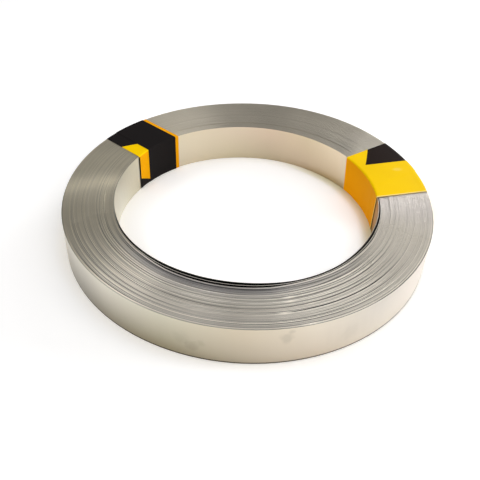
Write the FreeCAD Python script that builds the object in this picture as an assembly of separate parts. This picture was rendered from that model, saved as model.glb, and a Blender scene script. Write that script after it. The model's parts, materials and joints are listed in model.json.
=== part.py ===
import FreeCAD, Part

import os

# A roll of flat nickel strip: a coil with an open centre, lying on one end, held by two ties of
# adhesive tape that go through the bore and round the outside.  Each tie is two layers of tape.
# Millimetres.  The origin is on the floor, on the coil's axis, and +Z is up.

# The coil.  The strip stands on its edge, so its width is the coil's height.
strip_width = 15.0
coil_outer_radius = 66.0
coil_bore_radius = 47.0

# The innermost turns have sprung inwards, so an open gap follows each of them on both ends.
loose_turn_count = 2
loose_turn_width = 0.4
loose_gap_width = 0.4
loose_gap_depth = 3.0

# The tight turns show on both ends as flat lands, each a few turns wide, parted by fine grooves.
land_width = 0.9
groove_width = 0.15
groove_depth = 0.15

# The tape.
tape_thickness = 0.1
tape_width = 20.5
narrow_tape_width = 13.2

# Each layer of a tie runs straight across the coil's end.  Its angle is its outward direction,
# counted from +X towards +Y, and its offset is how far its middle line passes from the coil's axis,
# to the left of that direction.
left_tie_angle = 141.6
left_under_offset = 0.6
left_over_offset = -1.5
right_under_angle = 35.6
right_under_offset = -10.5
right_over_angle = 15.7
right_over_offset = -1.4

# The coil stands clear of the floor by the two layers of tape that pass beneath it.
coil_bottom = 2 * tape_thickness
coil_top = coil_bottom + strip_width

axis_foot = FreeCAD.Vector(0, 0, 0)
up = FreeCAD.Vector(0, 0, 1)


def turned(section):
    """The solid that a closed section of (radius, height) points sweeps round the coil's axis."""
    corners = [FreeCAD.Vector(radius, 0, height) for radius, height in section]
    face = Part.Face(Part.makePolygon(corners + corners[:1]))
    return face.revolve(axis_foot, up, 360)


def end_outline():
    """The (radius, depth) points of one end of the coil, from the bore's edge to the rim."""
    radius = coil_bore_radius
    outline = [(radius, 0)]
    for turn in range(loose_turn_count):
        radius += loose_turn_width
        outline += [(radius, 0), (radius, loose_gap_depth)]
        radius += loose_gap_width
        outline += [(radius, loose_gap_depth), (radius, 0)]
    while radius + 2 * land_width + groove_width < coil_outer_radius:
        radius += land_width
        outline += [(radius, 0), (radius + groove_width / 2, groove_depth), (radius + groove_width, 0)]
        radius += groove_width
    return outline + [(coil_outer_radius, 0)]


def strip_coil():
    """The wound strip, with its turns showing on both ends."""
    outline = end_outline()
    lower_end = [(radius, coil_bottom + depth) for radius, depth in outline]
    upper_end = [(radius, coil_top - depth) for radius, depth in reversed(outline)]
    return turned(lower_end + upper_end)


def wrapped_ring(layers):
    """The plain ring that the coil fills once that many layers of tape are added on every side."""
    build_up = layers * tape_thickness
    inner = coil_bore_radius - build_up
    outer = coil_outer_radius + build_up
    bottom = coil_bottom - build_up
    top = coil_top + build_up
    return turned([(inner, bottom), (outer, bottom), (outer, top), (inner, top)])


def slab(angle, offset, width):
    """An upright slab from the axis outwards, past the coil, that cuts one tie's width out of a ring."""
    reach = 1.5 * coil_outer_radius
    height = coil_top + coil_bottom
    piece = Part.makeBox(reach, width, 2 * height, FreeCAD.Vector(0, offset - width / 2, -height / 2))
    piece.rotate(axis_foot, up, angle)
    return piece


def under_layer(angle, offset, width):
    """A layer of tape that lies on the coil."""
    return slab(angle, offset, width).common(wrapped_ring(1)).cut(wrapped_ring(0))


def over_layer(angle, offset, width, under, under_slab):
    """A layer of tape that lies on the layer under it, and on the coil beside that layer."""
    raised = under_slab.common(wrapped_ring(2))
    cover = wrapped_ring(1).fuse(raised).common(slab(angle, offset, width))
    return cover.cut(wrapped_ring(0)).cut(under)


def tie(under_angle, under_offset, over_angle, over_offset, over_width):
    """The two layers of one tie.  The upper layer steps down at the lower layer's edges."""
    under = under_layer(under_angle, under_offset, tape_width)
    stepped_slab = slab(under_angle, under_offset, tape_width + 2 * tape_thickness)
    over = over_layer(over_angle, over_offset, over_width, under, stepped_slab)
    return under, over


left_under, left_over = tie(
    left_tie_angle, left_under_offset, left_tie_angle, left_over_offset, narrow_tape_width)
right_under, right_over = tie(
    right_under_angle, right_under_offset, right_over_angle, right_over_offset, tape_width)

nodes = {
    "strip_coil": strip_coil(),
    "left_tape_under": left_under,
    "left_tape_over": left_over,
    "right_tape_under": right_under,
    "right_tape_over": right_over,
}

os.makedirs("parts", exist_ok=True)
for name, shape in nodes.items():
    shape.exportStep(f"parts/{name}.step")
    box = shape.BoundBox
    print(f"{name}: {len(shape.Solids)} solid, {shape.Volume:.1f} mm3, "
          f"x {box.XMin:.2f} to {box.XMax:.2f}, y {box.YMin:.2f} to {box.YMax:.2f}, "
          f"z {box.ZMin:.2f} to {box.ZMax:.2f}")
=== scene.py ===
import json
import math

import bpy
import numpy as np
from mathutils import Matrix, Vector

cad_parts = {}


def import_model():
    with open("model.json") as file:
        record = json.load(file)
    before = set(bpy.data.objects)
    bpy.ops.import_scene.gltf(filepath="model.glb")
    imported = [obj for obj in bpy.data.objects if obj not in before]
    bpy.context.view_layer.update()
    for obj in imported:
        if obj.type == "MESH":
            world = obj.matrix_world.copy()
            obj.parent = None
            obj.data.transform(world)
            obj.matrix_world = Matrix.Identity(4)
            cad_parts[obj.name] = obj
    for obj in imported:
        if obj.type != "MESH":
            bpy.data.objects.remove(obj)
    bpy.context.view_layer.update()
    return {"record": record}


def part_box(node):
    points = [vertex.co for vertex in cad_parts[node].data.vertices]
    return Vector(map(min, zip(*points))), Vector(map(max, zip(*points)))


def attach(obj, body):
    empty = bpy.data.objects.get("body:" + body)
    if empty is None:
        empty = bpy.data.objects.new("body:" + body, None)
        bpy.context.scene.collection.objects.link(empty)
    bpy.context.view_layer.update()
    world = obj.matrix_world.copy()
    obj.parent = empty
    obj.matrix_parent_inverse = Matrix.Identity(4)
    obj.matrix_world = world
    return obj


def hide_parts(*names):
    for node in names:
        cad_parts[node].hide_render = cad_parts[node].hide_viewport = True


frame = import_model()

# Lengths are in metres, in the CAD model's own frame: +Z up, the origin on the floor on the coil's axis.
MM = 0.001

# The coil's sizes come from the CAD model.
coil_low, coil_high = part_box("strip_coil")
RIM = coil_high.x
TOP = coil_high.z
BOTTOM = coil_low.z
BORE = next(m for m in frame["record"]["mounts"] if m["name"] == "bore")["dims"]["r_mm"] * MM

# The ties.  Each layer of tape runs straight across the coil: outward at an angle, at an offset to
# the left of that direction.
TAPE_THICKNESS = 0.1 * MM
TAPE_WIDTH = 20.5 * MM
TAPE_BEND = 0.35 * MM
# Where one layer crosses the edge of another, it steps up over this distance.
TAPE_STEP = 0.5 * MM
# How finely a layer is divided: across its width, round each bend, over the coil and down its walls.
TAPE_ROWS = 25
BEND_POINTS = 7
OVER_STEPS = 20
WALL_STEPS = 16
LEFT_ANGLE = math.radians(141.6)
LEFT_UNDER_OFFSET = 0.25 * MM
LEFT_UNDER_WIDTH = 21.2 * MM
LEFT_OVER_OFFSET = -1.9 * MM
LEFT_OVER_WIDTH = 14.0 * MM
RIGHT_UNDER_ANGLE = math.radians(35.6)
RIGHT_UNDER_OFFSET = -10.5 * MM
RIGHT_UNDER_PULL = -1.1 * MM
RIGHT_OVER_ANGLE = math.radians(15.7)
RIGHT_OVER_OFFSET = -1.4 * MM

# The strip.  It starts under the left tie and ends under the right one.
STRIP_THICKNESS = 0.18 * MM
INNER_END = LEFT_ANGLE
OUTER_END = RIGHT_OVER_ANGLE
WHOLE_TURNS = 89
STEPS_PER_TURN = 128
# How far the corners of its slit edges are rounded down.
EDGE_DROP = 0.04 * MM
# Its section, as (outward, up) points from the middle of a slit edge: the upper edge from the inside
# outwards, then the lower edge back.
UPPER_EDGE = [(-STRIP_THICKNESS / 2, -EDGE_DROP), (-STRIP_THICKNESS / 4, 0),
              (STRIP_THICKNESS / 4, 0), (STRIP_THICKNESS / 2, -EDGE_DROP)]
SECTION = UPPER_EDGE + [(x, -z) for x, z in reversed(UPPER_EDGE)]
# Where the section's four corners are in that list.
INNER_TOP = 0
OUTER_TOP = 3
OUTER_BOTTOM = 4
INNER_BOTTOM = 7

# Wide packets of turns stand about this far up or down all round the coil.  Single turns stand and
# lean this far around the front, where the winding is most uneven.
FRONT = math.radians(-82)
FRONT_REACH = math.radians(82)
PACKET_LIFT = 0.008 * MM
TURN_LIFT = 0.045 * MM
TURN_LEAN = math.radians(9)
# The ties take away this share of it, over this angle on each side of their middles.  The right
# under layer lies to the right of its direction.
TIE_HOLD = 0.8
TIE_REACH = 0.36
TIE_MIDDLES = (LEFT_ANGLE, RIGHT_UNDER_ANGLE - 0.18, RIGHT_OVER_ANGLE)
# The inner turns sink below the rest up to this turn: how high they stand by turn, in millimetres.
PACKET_END = 16.4
SUNK = [(0, -0.03), (2, -0.03), (2.6, -0.10), (PACKET_END, -0.12), (PACKET_END + 0.7, 0)]
# Turns that stand further from the next one, and how much further.
LOOSER_TURNS = [(5.1, 3), (9.3, 3), (13.8, 3), (16.3, 8), (24.6, 3), (31.5, 4), (38.4, 3), (44.2, 4),
                (52.7, 3), (58.6, 3), (65.3, 3), (71.3, 4), (79.5, 3)]
# The two innermost turns are loose.  By azimuth in degrees, in millimetres: how far the first one bulges
# outwards, and how wide the first and second gaps stand open.
LOOSE = [(36, 0, 0.03, 0.03), (142, 0, 0.03, 0.03), (170, 0.3, 0.03, 0.03), (190, 0.6, 0.06, 0.03),
         (200, 0.75, 0.2, 0.03), (210, 0.9, 0.42, 0.03), (220, 0.7, 0.56, 0.06), (230, 0.42, 0.66, 0.2),
         (240, 0.15, 0.82, 0.62), (250, -0.1, 0.9, 0.74), (260, -0.2, 0.95, 0.76),
         (270, -0.18, 0.95, 0.74), (280, 0.05, 0.78, 0.68), (290, 0.42, 0.45, 0.22),
         (300, 0.45, 0.5, 0.12), (310, 0.35, 0.46, 0.25), (320, 0, 0.56, 0.3), (330, -0.15, 0.7, 0.36),
         (340, -0.2, 0.74, 0.18), (350, -0.05, 0.62, 0.1), (360, 0, 0.35, 0.1), (375, 0, 0.1, 0.05)]

# The coil is a little out of round: by azimuth in degrees, how many millimetres further out than true
# its bore and its rim stand.
OUT_OF_ROUND = [(-180, 0.1, -0.35), (-160, 0.05, 0.1), (-120, 0, 0.3), (-90, -0.05, 0.45),
                (-60, -0.05, 0.35), (-20, -0.05, 0.15), (0, 0, 0.25), (15, 0.1, 0.85), (30, 0, 1.2),
                (50, -0.55, 1.85), (65, -0.7, 1.8), (80, -0.85, 1.3), (95, -0.95, 0.6), (110, -0.8, 0.1),
                (125, -0.4, -0.2), (140, 0, -0.25), (160, 0.05, -0.45)]

# Small nicks in the turns' upper edges: azimuth in degrees, and millimetres from the axis.
NICKS = [(-75, 54), (-75.7, 55.6), (-78.6, 59.9), (-76.8, 60.1), (-72.6, 65.4), (-68.2, 57.8)]
NICK_REACH = math.radians(1.6)
NICK_WIDTH = 0.5 * MM
NICK_HEIGHT = 0.06 * MM

# How bright the coil's upper face is painted, by azimuth in degrees: painted highlights and shade where
# the lamps' reflections fall on it, with a bright reflected streak on the left.
TOP_SHADE = [(-180, 1.24), (-178, 1.12), (-176, 1.03), (-172, 0.99), (-168, 0.99), (-164, 1.04),
             (-160, 1.12), (-150, 1.16), (-140, 1.06), (-130, 1.02), (-120, 1.03), (-100, 0.98),
             (-90, 1.12), (-80, 1.02), (-60, 1.01), (-40, 1.08), (-20, 1.12), (-10, 1.15), (0, 1.05),
             (30, 0.9), (40, 0.87), (60, 1.1), (70, 1.1), (80, 1.0), (90, 0.92), (100, 0.83), (110, 0.93),
             (125, 0.95), (160, 0.97), (170, 0.87), (174, 0.99), (176, 1.12), (178, 1.22)]

# How strongly single turns stand out as light and dark lines, by azimuth in degrees.
LINES = [(-170, 0.1), (-160, 0.12), (-150, 0.32), (-140, 0.5), (-130, 0.55), (-120, 0.52), (-110, 0.49),
         (-100, 0.46), (-90, 0.47), (-80, 0.65), (-70, 0.9), (-50, 0.85), (-40, 0.42), (-30, 0.17),
         (-18, 0.09), (-8, 0.05), (10, 0.04), (150, 0.05), (165, 0.12)]

# Shaded lines where turns stand apart: azimuth in degrees, millimetres from the axis, and strength.
SHADED_LINES = [
    [(-178, 51, 0), (-160, 51.2, 0.11), (-136, 51.6, 0.34), (-118, 51.9, 0.22), (-106, 51.8, 0.14),
     (-88, 52, 0.17), (-76, 51.7, 0.41), (-55, 51.25, 0.65), (-40, 51, 0.27), (-30, 50.8, 0)],
    [(-156, 49.7, 0), (-142, 49.9, 0.14), (-128, 50, 0.17), (-112, 50.6, 0.15), (-88, 50.3, 0.12),
     (-70, 50.5, 0.26), (-52, 50.2, 0.37), (-40, 50.2, 0.11), (-34, 50.2, 0)],
    [(-162, 52.3, 0), (-152, 52.3, 0.15), (-142, 52.6, 0.24), (-128, 52.8, 0)],
    [(-124, 53.8, 0), (-112, 53.7, 0.04), (-94, 53.6, 0.09), (-78, 53.3, 0.22), (-64, 53.2, 0.07),
     (-56, 53, 0)],
    [(-156, 55.1, 0), (-148, 55, 0.05), (-94, 54.5, 0.07), (-82, 54.5, 0.14), (-64, 54.2, 0.17),
     (-50, 53.9, 0.04), (-42, 53.8, 0)],
    [(-156, 56.6, 0), (-148, 56.7, 0.1), (-100, 57.4, 0.1), (-76, 57.1, 0.07), (-56, 56.8, 0)],
    [(-100, 58.9, 0), (-82, 58.7, 0.09), (-64, 58.7, 0.14), (-52, 58.5, 0)],
    [(-172, 62.3, 0), (-157, 62.7, 0.12), (-142, 62.9, 0.02), (-118, 62.1, 0.14), (-82, 62.1, 0.1),
     (-52, 62, 0)],
    [(-180, 65.7, 0), (-170, 65.7, 0.25), (-164, 65.7, 0.34), (-150, 65.7, 0.07), (-140, 65.7, 0)]]
SHADED_LINE_REACH = 0.35 * MM
# How strong the light and dark lines are as a whole, and how many turns on each side they are
# compared with.
LINE_CONTRAST = 2.4
NEAR_TURNS = 4

# How much darker the last turn is along the rim, by azimuth in degrees.
RIM_SHADE = [(-125, 0), (-100, 0.35), (-72, 0.45), (-62, 0.85), (-30, 0.85), (-12, 0.5), (0, 0)]

# How much darker the sunken inner turns are, by turn, and what share of that shows by azimuth.
PACKET_SHADE = [(2, 0), (2.3, 0.15), (3.6, 0.35), (5.5, 0.62), (8.8, 0.6), (10, 0.42),
                (PACKET_END - 0.8, 0.42), (PACKET_END, 0.14), (PACKET_END + 6, 0.14), (PACKET_END + 12, 0)]
PACKET_SHADE_SHARE = [(-150, 0), (-128, 1), (-82, 1), (-70, 0.4), (-46, 0.22), (-38, 0)]

# How bright the innermost turn's edge is, by azimuth in degrees.
INNERMOST_SHADE = [(-160, 1), (-140, 0.2), (-35, 0.2), (-15, 1.3), (150, 1)]

# How dark and how bright a turn's edge can get.
TONE_LIMITS = (0.08, 1.6)

# The slit edges' colour at the front and at the back, and the share of red, green and blue that is
# lost on the left, and gained on the right and in the sunken inner turns.
EDGE_FRONT = (0.632, 0.590, 0.522)
EDGE_BACK = (0.646, 0.589, 0.486)
LOST_ON_LEFT = (0, 0.01, 0.10)
GAINED_ON_RIGHT = (0, 0, 0.08)
GAINED_IN_PACKET = (-0.03, 0, 0.18)

# The bare metal's colour on the two walls that show, by azimuth in degrees: at the top and at the bottom.
# Most of that is painted reflection and shade: the outer wall is darker low down on the left, where it
# mirrors the shadowed floor, and paler on the right, where it catches the light.
PLAIN_WALL = (0.64, 0.58, 0.46)
OUTER_WALL = [(-180, PLAIN_WALL, PLAIN_WALL),
              (-160, (0.69, 0.60, 0.46), (0.45, 0.40, 0.30)),
              (-150, (0.64, 0.60, 0.50), (0.27, 0.25, 0.21)),
              (-140, (0.67, 0.63, 0.54), (0.23, 0.21, 0.17)),
              (-130, (0.74, 0.70, 0.60), (0.26, 0.23, 0.17)),
              (-110, (0.62, 0.59, 0.47), (0.30, 0.26, 0.17)),
              (-90, (0.64, 0.56, 0.43), (0.40, 0.35, 0.27)),
              (-70, (0.74, 0.67, 0.56), (0.60, 0.52, 0.42)),
              (-50, (0.63, 0.59, 0.53), (0.72, 0.66, 0.57)),
              (-30, (0.75, 0.68, 0.60), (0.79, 0.73, 0.66)),
              (0, (0.70, 0.66, 0.58), (0.77, 0.71, 0.63)),
              (30, PLAIN_WALL, PLAIN_WALL)]
# Painted shade: inside the open gaps, both sides are painted dark.
DARK_GAP = [(0, (0.3, 0.28, 0.26), (0.02, 0.02, 0.02))]
# The bore's wall: painted shade and the yellow tape's painted reflection beside the right tie, and painted
# light and shade elsewhere, as the light falls on it.
BORE_WALL = [(-60, PLAIN_WALL, PLAIN_WALL),
             (-30, (0.26, 0.21, 0.15), (0.42, 0.36, 0.28)),
             (-8, (0.44, 0.29, 0.11), (0.44, 0.31, 0.16)),
             (3, (0.56, 0.28, 0.03), (0.50, 0.28, 0.07)),
             (25, PLAIN_WALL, PLAIN_WALL),
             (40, (0.82, 0.69, 0.51), (0.57, 0.46, 0.31)),
             (60, (0.66, 0.55, 0.38), (0.52, 0.41, 0.30)),
             (80, (0.67, 0.53, 0.40), (0.47, 0.40, 0.28)),
             (100, (0.71, 0.60, 0.46), (0.57, 0.50, 0.35)),
             (120, (0.73, 0.64, 0.48), (0.66, 0.58, 0.44)),
             (160, (0.61, 0.57, 0.43), (0.69, 0.66, 0.53)),
             (175, (0.50, 0.48, 0.38), (0.85, 0.83, 0.74)),
             (200, PLAIN_WALL, PLAIN_WALL)]

random = np.random.default_rng(7)


# ---------------------------------------------------------------- shapes

def smooth_noise(position, spacing):
    """A seeded random curve between -1 and 1, read at each position, with a new value every spacing."""
    knots = position / spacing
    values = random.uniform(-1, 1, int(knots.max()) + 4)
    cell = np.floor(knots).astype(int)
    t = knots - cell
    before, start, end, after = (values[cell + k] for k in range(4))
    return 0.5 * (2 * start + (end - before) * t
                  + (2 * before - 5 * start + 4 * end - after) * t ** 2
                  + (3 * start - before - 3 * end + after) * t ** 3)


def bump(position, centre, half_width):
    """One smooth hill of height 1 that falls to 0 at half_width from its centre."""
    t = np.clip(np.abs(position - centre) / half_width, 0, 1)
    return (1 - t * t) ** 2


def curve(table, position):
    """What a table of azimuths in degrees and values gives at each position."""
    return np.interp(position, *np.array(table).T, period=360)


def thin_lines_only(values):
    """Take away what neighbouring turns have in common, so that only thin lines are left."""
    place = np.arange(len(values))
    near_turns = range(-NEAR_TURNS, NEAR_TURNS + 1)
    near = [values[np.clip(place + k * STEPS_PER_TURN, 0, len(values) - 1)] for k in near_turns]
    return values - np.mean(near, axis=0)


def out_of_round(points):
    """Move points outwards or inwards to give the coil its slightly uneven outline."""
    whole_degrees = np.arange(-180, 180)
    kernel = bump(np.arange(-14, 15), 0, 15)
    places, bores, rims = np.array(OUT_OF_ROUND).T
    radius = np.linalg.norm(points[..., :2], axis=-1)
    degrees = np.degrees(np.arctan2(points[..., 1], points[..., 0]))
    share = (radius - BORE) / (RIM - BORE)
    outwards = 0
    for values, weight in ((bores, 1 - share), (rims, share)):
        even = np.interp(whole_degrees, places, values, period=360)
        even = np.convolve(np.tile(even, 3), kernel / kernel.sum(), "same")[360:720]
        outwards = outwards + weight * np.interp(degrees, whole_degrees, even, period=360) * MM
    moved = points.copy()
    moved[..., :2] *= (1 + outwards / radius)[..., None]
    return moved


def angle_between(a, b):
    """The signed angle from b to a, between -pi and pi."""
    return (a - b + math.pi) % (2 * math.pi) - math.pi


def new_mesh(name, points, faces):
    mesh = bpy.data.meshes.new(name)
    mesh.from_pydata(np.asarray(points).reshape(-1, 3).tolist(), [], faces)
    mesh.polygons.foreach_set("use_smooth", [True] * len(mesh.polygons))
    return mesh


def store(mesh, name, values, domain):
    attribute = mesh.attributes.new(name, "FLOAT", domain)
    attribute.data.foreach_set("value", np.asarray(values, np.float32).ravel())


def add_piece(name, mesh, material, node):
    piece = bpy.data.objects.new(name, mesh)
    bpy.context.scene.collection.objects.link(piece)
    mesh.materials.append(material)
    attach(piece, "root")
    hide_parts(node)


def turn_radii(turn, degrees, front):
    """How far the strip's middle line lies from the axis, all along it."""
    count = len(turn)
    places, bulges, first_gaps, second_gaps = np.array(LOOSE).T
    bulge, first_gap, second_gap = (np.interp(degrees, places, values, period=360) * MM
                                    for values in (bulges, first_gaps, second_gaps))
    # What is left between the loose turns and the rim is shared out between the tight turns.
    slack = RIM - BORE - bulge - first_gap - second_gap - (turn[-1] + 1) * STRIP_THICKNESS
    spread = 1 + 0.5 * smooth_noise(turn, spacing=1.7)
    for place, strength in LOOSER_TURNS:
        spread += strength * bump(turn, place, half_width=0.8) * (0.25 + 0.75 * front)
    spread = np.clip(spread, 0.1, None)
    column = np.arange(count) % STEPS_PER_TURN
    spread /= (np.bincount(column, spread) / np.bincount(column))[column]
    tight = slack / (turn[-1] - 2) * spread
    gap = np.where(turn < 1, first_gap, second_gap)
    loose = np.interp(turn, [1.9, 2.1], [1, 0])
    gap = loose * gap + (1 - loose) * tight

    n = STEPS_PER_TURN
    radius = np.empty(count)
    radius[:n] = BORE + STRIP_THICKNESS / 2 + bulge[:n] + (STRIP_THICKNESS + gap[0]) * turn[:n]
    for k in range(n, count):
        radius[k] = radius[k - n] + STRIP_THICKNESS + gap[k - n]
    return radius


def nicks(azimuth, radius):
    """1 in the middle of each small nick, falling to 0 round it."""
    near = np.zeros(len(radius))
    for place, out in NICKS:
        along = bump(angle_between(azimuth, math.radians(place)), 0, NICK_REACH)
        near += along * bump(radius, out * MM, NICK_WIDTH)
    return near


def strip_path():
    """The strip's middle line from the bore outwards: turn, azimuth, radius, lift and tilt."""
    part_turn = ((OUTER_END - INNER_END) / (2 * math.pi)) % 1
    count = round((WHOLE_TURNS + part_turn) * STEPS_PER_TURN) + 1
    turn = np.arange(count) / STEPS_PER_TURN
    azimuth = INNER_END + 2 * math.pi * turn
    front = bump(angle_between(azimuth, FRONT), 0, FRONT_REACH)
    radius = turn_radii(turn, np.degrees(azimuth) % 360, front)

    # How far each turn stands above or below the coil's plane, and how far it leans.
    uneven = 0.1 + 0.9 * front
    lift = PACKET_LIFT * smooth_noise(turn, spacing=5.5)
    lift += TURN_LIFT * uneven * smooth_noise(turn, spacing=0.37)
    lift += np.interp(turn, *np.array(SUNK).T) * MM
    tilt = TURN_LEAN * uneven * smooth_noise(turn, spacing=0.43)
    tilt *= np.interp(turn, [2, 2.3], [0, 1])
    for tie in TIE_MIDDLES:
        lift *= 1 - TIE_HOLD * bump(angle_between(azimuth, tie), 0, TIE_REACH)
    lift += NICK_HEIGHT * nicks(azimuth, radius)
    return turn, azimuth, radius, lift, tilt


def line_tone(turn, degrees, radius):
    """How bright each turn's upper edge is beside its neighbours."""
    fine = 0.85 * smooth_noise(turn, spacing=0.37) + 0.35 * smooth_noise(turn, spacing=0.06)
    tone = 1 + LINE_CONTRAST * curve(LINES, degrees) * thin_lines_only(fine * np.abs(fine))
    for line in SHADED_LINES:
        places, radii, depths = np.array(line).T
        near = bump(radius, np.interp(degrees, places, radii) * MM, SHADED_LINE_REACH)
        tone *= 1 - near * np.interp(degrees, places, depths)
    # The last turn is dark, and the ones beside it are a little paler for it.
    last_turn = np.interp(turn, [turn[-1] - 1.15, turn[-1] - 1], [0, 1])
    before_last = bump(turn, turn[-1] - 2.3, half_width=1.8)
    return tone * (1 - curve(RIM_SHADE, degrees) * (last_turn - 0.3 * before_last))


def edge_colour(azimuth, degrees, packet):
    """The slit edges' colour: blue-grey at the front, and warmer at the back."""
    warmth = 0.5 + 0.5 * np.sin(azimuth)
    colour = np.outer(1 - warmth, EDGE_FRONT) + np.outer(warmth, EDGE_BACK)
    colour *= 1 - np.outer(np.clip(-np.cos(azimuth), 0, 1) ** 3, LOST_ON_LEFT)
    colour *= 1 + np.outer(bump(degrees, -2, half_width=18), GAINED_ON_RIGHT)
    return colour * (1 + np.outer(packet, GAINED_IN_PACKET))


def paint_walls(colour, turn, degrees):
    """Colour the strip's flat sides: painted shade inside the open gaps, then the two walls that show,
    with their painted reflections and shade.
    """
    sides = [(turn < 2, OUTER_TOP, OUTER_BOTTOM, DARK_GAP),
             ((turn > 1) & (turn < 3), INNER_TOP, INNER_BOTTOM, DARK_GAP),
             (turn > turn[-1] - 1, OUTER_TOP, OUTER_BOTTOM, OUTER_WALL),
             (turn < 1, INNER_TOP, INNER_BOTTOM, BORE_WALL)]
    for here, top_point, bottom_point, rows in sides:
        places, tops, bottoms = zip(*rows)
        for point, colours in ((top_point, tops), (bottom_point, bottoms)):
            for channel, levels in enumerate(zip(*colours)):
                colour[here, point, channel] = np.interp(degrees, places, levels, period=360)[here]


def strip_colour(turn, azimuth, radius):
    """The metal's colour at each of the section's eight points, all along the strip."""
    degrees = np.degrees(angle_between(azimuth, 0))
    packet = np.interp(turn, *np.array(PACKET_SHADE).T) * curve(PACKET_SHADE_SHARE, degrees)
    # The upper face's painted light and dark sectors lie a little aslant, as reflections do: a degree for
    # every
    # 3 mm at most.
    from_middle = radius - (BORE + RIM) / 2
    slanted = degrees + from_middle / (3 * MM) * np.cos(azimuth)
    tone = line_tone(turn, degrees, radius) * (1 - packet) * curve(TOP_SHADE, slanted)
    # The second turn catches the light at the front, and the innermost one mostly doesn't.
    second = (turn < 2.05) & (degrees < 0) & (degrees > -145)
    tone = np.where(second, TONE_LIMITS[1], tone)
    tone = np.where(turn < 1, curve(INNERMOST_SHADE, degrees), tone)
    tone = np.clip(tone + 1.6 * nicks(azimuth, radius), *TONE_LIMITS)

    edge = edge_colour(azimuth, degrees, packet) * tone[:, None]
    colour = np.repeat(edge[:, None, :], len(SECTION), axis=1)
    paint_walls(colour, turn, degrees)
    return colour


def strip_mesh():
    """The strip as one closed band, wound up on its edge, with both long edges slightly rounded."""
    turn, azimuth, radius, lift, tilt = strip_path()
    across, rise = np.array(SECTION).T
    level = np.array([TOP] * 4 + [BOTTOM] * 4)
    r = radius[:, None] + across
    z = level + rise + lift[:, None] - np.tan(tilt)[:, None] * across
    points = out_of_round(np.stack([r * np.cos(azimuth)[:, None], r * np.sin(azimuth)[:, None], z], -1))

    sides = len(SECTION)
    faces = []
    for k in range(len(turn) - 1):
        a = k * sides
        b = a + sides
        for i in range(sides):
            j = (i + 1) % sides
            faces.append((a + i, a + j, b + j, b + i))
    faces.append(tuple(range(sides - 1, -1, -1)))
    last = (len(turn) - 1) * sides
    faces.append(tuple(range(last, last + sides)))
    mesh = new_mesh("nickel_strip", points, faces)

    mark_faces(mesh, turn)
    mark_sharp_edges(mesh, len(turn))
    colour = strip_colour(turn, azimuth, radius)
    metal = mesh.attributes.new("metal", "FLOAT_COLOR", "POINT")
    metal.data.foreach_set("color", np.append(colour, np.ones(colour.shape[:2] + (1,)), axis=2).ravel())
    return mesh


def mark_faces(mesh, turn):
    """Store which faces are slit edges, which lie in the open gaps, and which are the outer wall."""
    ring = np.repeat(turn[:-1], len(SECTION))
    side = np.tile(np.arange(len(SECTION)), len(turn) - 1)
    outward = side == OUTER_TOP
    inward = side == INNER_BOTTOM
    in_gap = (outward & (ring < 2)) | (inward & (ring > 1) & (ring < 3))
    outside = outward & (ring > turn[-1] - 1)
    store(mesh, "slit_edge", np.append(~(outward | inward), [1, 1]), "FACE")
    store(mesh, "in_gap", np.append(in_gap, [0, 0]), "FACE")
    store(mesh, "outside", np.append(outside, [0, 0]), "FACE")


def mark_sharp_edges(mesh, rings):
    """Keep the corners between slit edges and flat sides, and round the strip's two ends, sharp."""
    sides = len(SECTION)
    ends = np.empty(2 * len(mesh.edges), int)
    mesh.edges.foreach_get("vertices", ends)
    ends = ends.reshape(-1, 2)
    point = ends % sides
    ring = ends // sides
    corners = [INNER_TOP, OUTER_TOP, OUTER_BOTTOM, INNER_BOTTOM]
    along_corner = (point[:, 0] == point[:, 1]) & np.isin(point[:, 0], corners)
    round_end = (ring[:, 0] == ring[:, 1]) & np.isin(ring[:, 0], [0, rings - 1])
    sharp = mesh.attributes.new("sharp_edge", "BOOLEAN", "EDGE")
    sharp.data.foreach_set("value", along_corner | round_end)


def tie_loop(a_in, a_out, lift, bend):
    """A rounded loop round the coil's section, as (outward, up) points, over the top and up the bore.

    a_in and a_out are where the coil's two walls lie, measured outwards from the axis."""
    low, high = BOTTOM - lift, TOP + lift
    corners = [(a_in, high, math.pi, OVER_STEPS), (a_out, high, math.pi / 2, WALL_STEPS),
               (a_out, low, 0, OVER_STEPS), (a_in, low, -math.pi / 2, WALL_STEPS)]
    bent = []
    for a, z, start, _ in corners:
        turned = start - np.linspace(0, math.pi / 2, BEND_POINTS)
        centre_a = a + (bend if a == a_in else -bend)
        centre_z = z + (-bend if z == high else bend)
        bent.append(np.column_stack([centre_a + bend * np.cos(turned), centre_z + bend * np.sin(turned)]))
    filled = []
    for k, (_, _, _, steps) in enumerate(corners):
        follow = bent[(k + 1) % 4][0]
        t = (np.arange(1, steps) / steps)[:, None]
        filled += [bent[k], bent[k][-1] + (follow - bent[k][-1]) * t]
    return np.concatenate(filled)


def raise_over(shell, under):
    """Lift a layer's points off the coil by one tape thickness where they cross the layer beneath."""
    angle, offset, width = under
    left = np.array([-math.sin(angle), math.cos(angle)])
    aside = np.abs(shell[..., :2] @ left - offset) - width / 2
    step = np.clip(0.5 - aside / TAPE_STEP, 0, 1)
    step = step * step * (3 - 2 * step) * TAPE_THICKNESS
    # -1 to 1 from the bore to the rim, and from the bottom to the top.
    radius = np.linalg.norm(shell[..., :2], axis=-1)
    side = (radius - (BORE + RIM) / 2) / ((RIM - BORE) / 2)
    level = (shell[..., 2] - (BOTTOM + TOP) / 2) / ((TOP - BOTTOM) / 2)
    on_surface = 0.97
    push_r = np.where(np.abs(side) > on_surface, np.sign(side), 0.0)
    push_z = np.where(np.abs(level) > on_surface, np.sign(level), 0.0)
    radial = shell[..., :2] / radius[..., None]
    shell[..., :2] += radial * (push_r * step)[..., None]
    shell[..., 2] += push_z * step


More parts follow.
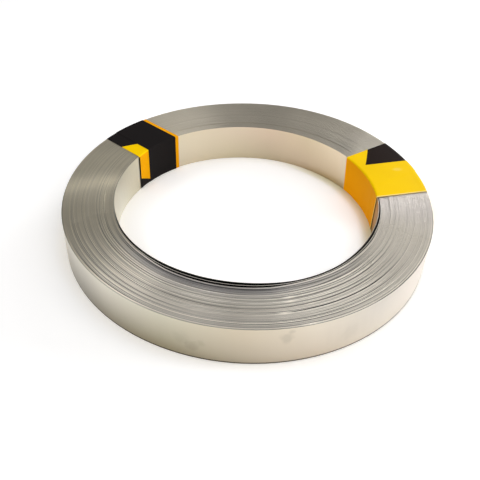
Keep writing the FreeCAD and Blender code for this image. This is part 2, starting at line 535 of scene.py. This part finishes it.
def tape_mesh(name, angle, offset, width, under=None, pull=0.0):
    """One layer of tape as a thin closed band round the coil's section.

    under is the (angle, offset, width) of a layer that this one passes over.  pull moves the left edge
    sideways at the bottom of the bore's wall, where the tape was laid a little crooked."""
    outward = np.array([math.cos(angle), math.sin(angle)])
    left = np.array([-math.sin(angle), math.cos(angle)])
    rows = np.linspace(-width / 2, width / 2, TAPE_ROWS)
    shells = []
    lengths = []
    for clear in (0.0, TAPE_THICKNESS):
        shell = []
        for v in rows:
            lateral = offset + v
            slant_in = math.sqrt(1 - (lateral / BORE) ** 2)
            slant_out = math.sqrt(1 - (lateral / RIM) ** 2)
            a_in = BORE * slant_in - clear / slant_in
            a_out = RIM * slant_out + clear / slant_out
            loop = tie_loop(a_in, a_out, clear, TAPE_BEND + clear)
            low = np.clip((TOP - loop[:, 1]) / (TOP - BOTTOM), 0, 1)
            near_bore = np.clip((a_out - loop[:, 0]) / (a_out - a_in), 0, 1)
            aside = lateral + pull * low * near_bore * max(0.0, 2 * v / width)
            follow = BORE * (np.sqrt(1 - (aside / BORE) ** 2) - slant_in) * near_bore
            flat = (loop[:, 0] + follow)[:, None] * outward + aside[:, None] * left
            shell.append(np.column_stack([flat, loop[:, 1]]))
            steps = np.linalg.norm(np.roll(loop, -1, axis=0) - loop, axis=1)
            lengths.append(np.concatenate([[0], np.cumsum(steps)]))
        shells.append(np.array(shell))
    if under is not None:
        for shell in shells:
            raise_over(shell, under)

    nv, nu = shells[0].shape[:2]
    corners = []
    for u in range(nu):
        for v in range(nv - 1):
            corners.append([(1, v, u), (1, v, u + 1), (1, v + 1, u + 1), (1, v + 1, u)])
            corners.append([(0, v, u), (0, v + 1, u), (0, v + 1, u + 1), (0, v, u + 1)])
        corners.append([(0, 0, u), (0, 0, u + 1), (1, 0, u + 1), (1, 0, u)])
        corners.append([(0, nv - 1, u), (1, nv - 1, u), (1, nv - 1, u + 1), (0, nv - 1, u + 1)])
    corners = np.array(corners)
    shell, v, u = corners[..., 0], corners[..., 1], corners[..., 2]
    faces = (shell * nv * nu + v * nu + u % nu).tolist()
    mesh = new_mesh(name, out_of_round(np.concatenate([s.reshape(-1, 3) for s in shells])), faces)

    # Millimetres across the tape, and along it from the bore's top edge outwards over the top.
    lengths = np.array(lengths[:nv]) / MM
    store(mesh, "across", rows[v] / MM, "CORNER")
    store(mesh, "along", lengths[v, u], "CORNER")
    store(mesh, "to_end", lengths[v, nu] - lengths[v, u], "CORNER")
    mesh.set_sharp_from_angle(angle=math.radians(50))
    return mesh


# ---------------------------------------------------------------- materials

# Where the floor beside the yellow tape gets the most painted shade and painted reflection of the yellow
# tape, and the middle of the bore's shadow, which painted light fills.
YELLOW_TAPE_FOOT = (0.040, 0.019, 0)
BORE_SHADOW = (0.034, -0.009, 0)

# Faint smudges on the outer wall: azimuth in degrees, height and size in millimetres, and strength.
SMUDGES = [(-78, 11, 2.8, 0.15), (-77, 13.6, 1.6, 0.14), (-102.5, 5.2, 2.8, 0.12), (-99.8, 7, 1.8, 0.1),
           (-105.5, 8, 3.4, 0.07), (-60, 7, 4.5, 0.05)]


class Nodes:
    """A short way to write a material's nodes."""

    def __init__(self, name):
        self.material = bpy.data.materials.new(name)
        self.material.use_nodes = True
        self.tree = self.material.node_tree
        self.shader = self.tree.nodes["Principled BSDF"]

    def add(self, kind, **settings):
        node = self.tree.nodes.new(kind)
        for key, value in settings.items():
            setattr(node, key, value)
        return node

    def link(self, source, target):
        self.tree.links.new(source, target)

    def attribute(self, name, output="Fac"):
        return self.add("ShaderNodeAttribute", attribute_name=name).outputs[output]

    def ramp(self, value, start, end, low, high):
        """A smooth step from low to high as value goes from start to end."""
        node = self.add("ShaderNodeMapRange", interpolation_type="SMOOTHSTEP")
        self.link(value, node.inputs["Value"])
        for socket, given in zip(node.inputs[1:5], (start, end, low, high)):
            socket.default_value = given
        return node.outputs["Result"]

    def math(self, operation, *values):
        node = self.add("ShaderNodeMath", operation=operation)
        for socket, value in zip(node.inputs, values):
            if isinstance(value, (int, float)):
                socket.default_value = value
            else:
                self.link(value, socket)
        return node.outputs[0]

    def mix(self, factor, first, second):
        node = self.add("ShaderNodeMix", data_type="RGBA")
        for socket, value in ((node.inputs[0], factor), (node.inputs[6], first), (node.inputs[7], second)):
            if isinstance(value, tuple):
                socket.default_value = (*value, 1)
            elif isinstance(value, (int, float)):
                socket.default_value = value
            else:
                self.link(value, socket)
        return node.outputs[2]

    def scaled(self, colour, value):
        node = self.add("ShaderNodeHueSaturation")
        for socket, given in ((node.inputs["Color"], colour), (node.inputs["Value"], value)):
            if isinstance(given, tuple):
                socket.default_value = (*given, 1)
            else:
                self.link(given, socket)
        return node.outputs["Color"]

    def noise(self, vector, scale, detail):
        node = self.add("ShaderNodeTexNoise")
        node.inputs["Scale"].default_value = scale
        node.inputs["Detail"].default_value = detail
        self.link(vector, node.inputs["Vector"])
        return node.outputs["Fac"]

    def distance(self, place, point=(0, 0, 0)):
        node = self.add("ShaderNodeVectorMath", operation="DISTANCE")
        self.link(place, node.inputs[0])
        node.inputs[1].default_value = point
        return node.outputs["Value"]


def nickel():
    """Bare nickel, with soft clouding, faint smudges, a painted contact shadow along the lower edge, and
    painted shade in the open gaps.
    """
    m = Nodes("nickel")
    m.shader.inputs["Metallic"].default_value = 1.0
    place = m.add("ShaderNodeTexCoord").outputs["Object"]
    cloud = m.noise(place, scale=70, detail=4)
    shade = m.math("MULTIPLY_ADD", cloud, 0.10, 0.95)

    height = m.add("ShaderNodeSeparateXYZ")
    m.link(place, height.inputs[0])
    # Painted contact shadow: a dark line along the outer wall's lower edge.
    contact_shadow = m.ramp(height.outputs["Z"], BOTTOM + 0.2 * MM, BOTTOM + 0.75 * MM, 0.94, 0.0)
    contact_shadow = m.math("MULTIPLY", contact_shadow, m.attribute("outside"))
    shade = m.math("MULTIPLY", shade, m.math("SUBTRACT", 1.0, contact_shadow))
    fine = m.noise(place, scale=420, detail=3)
    for azimuth, up, size_mm, strength in SMUDGES:
        a = math.radians(azimuth)
        size = size_mm * MM
        away = m.distance(place, (RIM * math.cos(a), RIM * math.sin(a), up * MM))
        ragged = m.math("ADD", away, m.math("MULTIPLY_ADD", fine, size, -0.5 * size))
        shade = m.math("MULTIPLY", shade, m.ramp(ragged, 0.3 * size, size, 1 - strength, 1.0))
    # Painted shade inside the open gaps.
    shade = m.math("MULTIPLY", shade, m.math("MULTIPLY_ADD", m.attribute("in_gap"), -0.9, 1.0))

    m.link(m.scaled(m.attribute("metal", "Color"), shade), m.shader.inputs["Base Color"])
    rough = m.math("MULTIPLY_ADD", cloud, 0.10, 0.26)
    rough = m.math("MULTIPLY_ADD", m.attribute("slit_edge"), 0.06, rough)
    m.link(rough, m.shader.inputs["Roughness"])
    return m.material


YELLOW = (1.0, 0.635, 0.001)
# ORANGE, LEFT_ORANGE and MARGIN_ORANGE are the yellow tape painted deeper orange as shade and light
# bounced from the tape itself: on the bore's wall, and on the left tape's margin, which shows mostly
# there.
ORANGE = (1.0, 0.40, 0.001)
LEFT_ORANGE = (0.95, 0.42, 0.001)
MARGIN_ORANGE = (0.93, 0.39, 0.003)
# The next two are painted highlights on the yellow tape, and the brown after them is a painted shadow line
# along its edge.
PALE_YELLOW = (1.0, 0.82, 0.30)
HIGHLIGHT_YELLOW = (1.0, 0.86, 0.30)
EDGE_SHADOW_BROWN = (0.40, 0.22, 0.03)
BLACK = (0.014, 0.012, 0.012)
PRINTED_BLACK = (0.017, 0.010, 0.008)

# Places on the tape, in millimetres, as tape_material says.
LEFT_STRIPES = (3.16, 0.68, 20.5, 34.2, -8.0)
LEFT_DARK_EDGE = 10.1
RIGHT_STRIPES = (1.15, 0.88, 30.0, 68.4, -10.3)
RIGHT_PALE_EDGE = -9.6
RIGHT_PALE_SPOT = (13.0, 5.2)


def tape_material(name, colour, wall_colour=None, stripes=None, printed=PRINTED_BLACK,
                  margin_colour=YELLOW, pale_edge=None, dark_edge=None, pale_spot=None):
    """Vinyl tape.  Everything is in millimetres across the tape, leftwards from its middle, or along it.

    wall_colour is the tape's colour on the bore's wall, painted deeper orange as shade and light bounced
    from the tape itself.  stripes is (start, slant, length, period, margin): where the first yellow block
    starts, how much further along it starts for each millimetre across, how long the blocks are, how
    often they come, and where the plain margin on the right ends.  printed and margin_colour are the
    colours between the blocks and of the margin.
    pale_edge is where a painted highlight along the right edge ends, with a painted shadow line beside it
    at the very edge.  dark_edge is where the painted shade under the lifted left edge on the bore's wall
    starts.
    pale_spot is the (along, across) middle of a soft pale spot, a painted highlight."""
    m = Nodes(name)
    along = m.attribute("along")
    across = m.attribute("across")
    place = m.add("ShaderNodeTexCoord").outputs["Object"]
    cloud = m.noise(place, scale=90, detail=3)
    shade = m.math("MULTIPLY_ADD", cloud, 0.16, 0.94)

    # 1 on the bore's wall and 0 elsewhere: the wall comes last, before the tape is back at its start.
    on_bore = m.math("LESS_THAN", m.attribute("to_end"), (TOP - BOTTOM) / MM)
    look = colour if wall_colour is None else m.mix(on_bore, colour, wall_colour)
    # Painted highlight along the right edge, and a painted shadow line at the very edge.
    if pale_edge is not None:
        look = m.mix(m.math("LESS_THAN", across, pale_edge), look, PALE_YELLOW)
        look = m.mix(m.math("LESS_THAN", across, pale_edge - 0.45), look, EDGE_SHADOW_BROWN)
    if stripes is not None:
        start, slant, length, period, margin = stripes
        shifted = m.math("SUBTRACT", m.math("SUBTRACT", along, start), m.math("MULTIPLY", across, slant))
        block = m.math("GREATER_THAN", m.math("WRAP", shifted, 0.0, -period), -length)
        look = m.mix(block, printed, look)
        look = m.mix(m.math("LESS_THAN", across, margin), look, margin_colour)
    # Painted highlight: a soft pale spot on the tape's top.
    if pale_spot is not None:
        spot_along, spot_across = pale_spot
        squeeze = 1.6
        flat = m.add("ShaderNodeCombineXYZ")
        m.link(along, flat.inputs["X"])
        m.link(m.math("MULTIPLY", across, squeeze), flat.inputs["Y"])
        away = m.distance(flat.outputs["Vector"], (spot_along, spot_across * squeeze, 0))
        look = m.mix(m.ramp(away, 0.3, 2.6, 0.26, 0.0), look, HIGHLIGHT_YELLOW)
    # Painted shade under the left edge on the bore's wall.
    if dark_edge is not None:
        lifted = m.math("MULTIPLY", on_bore, m.math("GREATER_THAN", across, dark_edge))
        look = m.mix(lifted, look, BLACK)
    m.link(m.scaled(look, shade), m.shader.inputs["Base Color"])
    m.shader.inputs["Roughness"].default_value = 0.42
    m.shader.inputs["Specular IOR Level"].default_value = 0.02
    return m.material


def floor_paper():
    """White paper that keeps the shadow.

    It looks white to the eye and in reflections, without lighting the coil any more.  The glow fades
    close to the coil, most of all beside the yellow tape, so that the shadow stays, and there the paper's
    colour
    and glow turn warm and darker: painted shade, and a painted reflection of the yellow tape.  A little
    more glow in the bore's shadow is painted light."""
    m = Nodes("floor_paper")
    m.shader.inputs["Roughness"].default_value = 0.7
    m.shader.inputs["Specular IOR Level"].default_value = 0.1
    place = m.add("ShaderNodeTexCoord").outputs["Object"]
    away = m.distance(place)
    ring_middle = (BORE + RIM) / 2
    ring_half = (RIM - BORE) / 2
    from_ring = m.math("ABSOLUTE", m.math("SUBTRACT", away, ring_middle))
    close = m.ramp(from_ring, ring_half, ring_half + 5.5 * MM, 1.0, 0.0)
    from_tape = m.distance(place, YELLOW_TAPE_FOOT)
    by_tape = m.math("MULTIPLY", close, m.ramp(from_tape, 18 * MM, 44 * MM, 1.0, 0.0))
    # Painted shade and the yellow tape's painted reflection: glow and paper turn warm and darker near the
    # coil.
    glow = m.mix(close, (1, 1, 1), (0.86, 0.80, 0.68))
    glow = m.mix(by_tape, glow, (0.05, 0.02, 0.0))
    m.link(glow, m.shader.inputs["Emission Color"])
    m.link(m.mix(by_tape, (0.95, 0.94, 0.935), (0.77, 0.72, 0.50)), m.shader.inputs["Base Color"])

    # A little more glow where the bore's own shadow falls.
    in_bore = m.ramp(away, 30 * MM, 42 * MM, 0.07, 0.0)
    shadow_fill = m.ramp(m.distance(place, BORE_SHADOW), 5 * MM, 20 * MM, 0.16, 0.0)
    strength = m.math("ADD", m.math("ADD", in_bore, shadow_fill), 0.26)
    ray = m.add("ShaderNodeLightPath").outputs
    seen = m.math("MAXIMUM", ray["Is Camera Ray"], ray["Is Glossy Ray"])
    # Far away, where the lamps no longer reach, the camera still sees white paper.
    far = m.math("MULTIPLY", ray["Is Camera Ray"], m.ramp(away, 0.3, 1.0, 0.0, 0.74))
    m.link(m.math("ADD", m.math("MULTIPLY", seen, strength), far), m.shader.inputs["Emission Strength"])
    return m.material


# ---------------------------------------------------------------- the roll

left_under = (LEFT_ANGLE, LEFT_UNDER_OFFSET, LEFT_UNDER_WIDTH)
left_over = (LEFT_ANGLE, LEFT_OVER_OFFSET, LEFT_OVER_WIDTH)
right_under = (RIGHT_UNDER_ANGLE, RIGHT_UNDER_OFFSET, TAPE_WIDTH)
right_over = (RIGHT_OVER_ANGLE, RIGHT_OVER_OFFSET, TAPE_WIDTH)

left_under_look = tape_material("left_warning_tape", YELLOW, LEFT_ORANGE, LEFT_STRIPES, BLACK,
                                MARGIN_ORANGE, dark_edge=LEFT_DARK_EDGE)
right_under_look = tape_material("right_warning_tape", YELLOW, ORANGE, RIGHT_STRIPES)
left_over_look = tape_material("plain_black_tape", BLACK)
right_over_look = tape_material("plain_yellow_tape", YELLOW, ORANGE, pale_edge=RIGHT_PALE_EDGE,
                                pale_spot=RIGHT_PALE_SPOT)

add_piece("nickel_strip", strip_mesh(), nickel(), "strip_coil")
add_piece("left_under_band", tape_mesh("left_under_band", *left_under), left_under_look,
          "left_tape_under")
add_piece("left_over_band", tape_mesh("left_over_band", *left_over, under=left_under), left_over_look,
          "left_tape_over")
add_piece("right_under_band", tape_mesh("right_under_band", *right_under, pull=RIGHT_UNDER_PULL),
          right_under_look, "right_tape_under")
add_piece("right_over_band", tape_mesh("right_over_band", *right_over, under=right_under), right_over_look,
          "right_tape_over")


# ---------------------------------------------------------------- the studio

FLOOR_HALF = 2.0
LAMP_DISTANCE = 0.9
# Two low lamps behind on the right, two above them, the main pair on the right, and fill on the
# left: azimuth and elevation in degrees, width in metres, and power.
LAMPS = [(0, 10, 0.3, 3.36), (60, 10, 0.3, 3.0),
         (30, 28, 0.42, 0.52), (60, 28, 0.42, 0.48),
         (0, 48, 0.42, 0.76), (0, 68, 0.42, 1.04),
         (180, 48, 0.42, 1.44), (240, 48, 0.42, 1.68), (300, 48, 0.42, 0.88)]


def floor():
    s = FLOOR_HALF
    mesh = bpy.data.meshes.new("floor")
    mesh.from_pydata([(-s, -s, 0), (s, -s, 0), (s, s, 0), (-s, s, 0)], [], [(0, 1, 2, 3)])
    mesh.materials.append(floor_paper())
    piece = bpy.data.objects.new("floor", mesh)
    bpy.context.scene.collection.objects.link(piece)


def lamp(azimuth, elevation, size, power):
    """A round soft lamp that faces the coil."""
    light = bpy.data.lights.new("lamp", "AREA")
    light.shape = "DISK"
    light.size = size
    light.energy = power
    piece = bpy.data.objects.new("lamp", light)
    a, e = math.radians(azimuth), math.radians(elevation)
    toward = Vector((math.cos(e) * math.cos(a), math.cos(e) * math.sin(a), math.sin(e)))
    piece.location = toward * LAMP_DISTANCE
    piece.rotation_euler = toward.to_track_quat("Z", "Y").to_euler()
    bpy.context.scene.collection.objects.link(piece)


def world():
    """White where the camera sees it, and a faint even light otherwise."""
    studio = bpy.data.worlds.new("studio")
    bpy.context.scene.world = studio
    studio.use_nodes = True
    tree = studio.node_tree
    background = tree.nodes["Background"]
    background.inputs["Color"].default_value = (1, 1, 1, 1)
    ray = tree.nodes.new("ShaderNodeLightPath")
    strength = tree.nodes.new("ShaderNodeMapRange")
    strength.inputs["To Min"].default_value = 0.2
    strength.inputs["To Max"].default_value = 1.0
    tree.links.new(ray.outputs["Is Camera Ray"], strength.inputs["Value"])
    tree.links.new(strength.outputs["Result"], background.inputs["Strength"])


def camera():
    """The viewing angle: how high the camera stands, how far it is in coil radii, and where it aims."""
    elevation = math.radians(36.08)
    distance = 3.634 * RIM
    roll = math.radians(2.57)
    aim = Vector((-0.0267 * RIM, -0.4044 * RIM, TOP))
    place = Vector((0, -distance * math.cos(elevation), TOP + distance * math.sin(elevation)))
    data = bpy.data.cameras.new("camera")
    data.lens = 49.49
    data.sensor_width = 36
    data.clip_start = 0.01
    cam = bpy.data.objects.new("camera", data)
    turn = (place - aim).to_track_quat("Z", "Y").to_matrix().to_4x4() @ Matrix.Rotation(roll, 4, "Z")
    cam.matrix_world = Matrix.Translation(place) @ turn
    bpy.context.scene.collection.objects.link(cam)
    bpy.context.scene.camera = cam


floor()
world()
for azimuth, elevation, size, power in LAMPS:
    lamp(azimuth, elevation, size, power)
camera()
bpy.context.scene.view_settings.view_transform = "Standard"
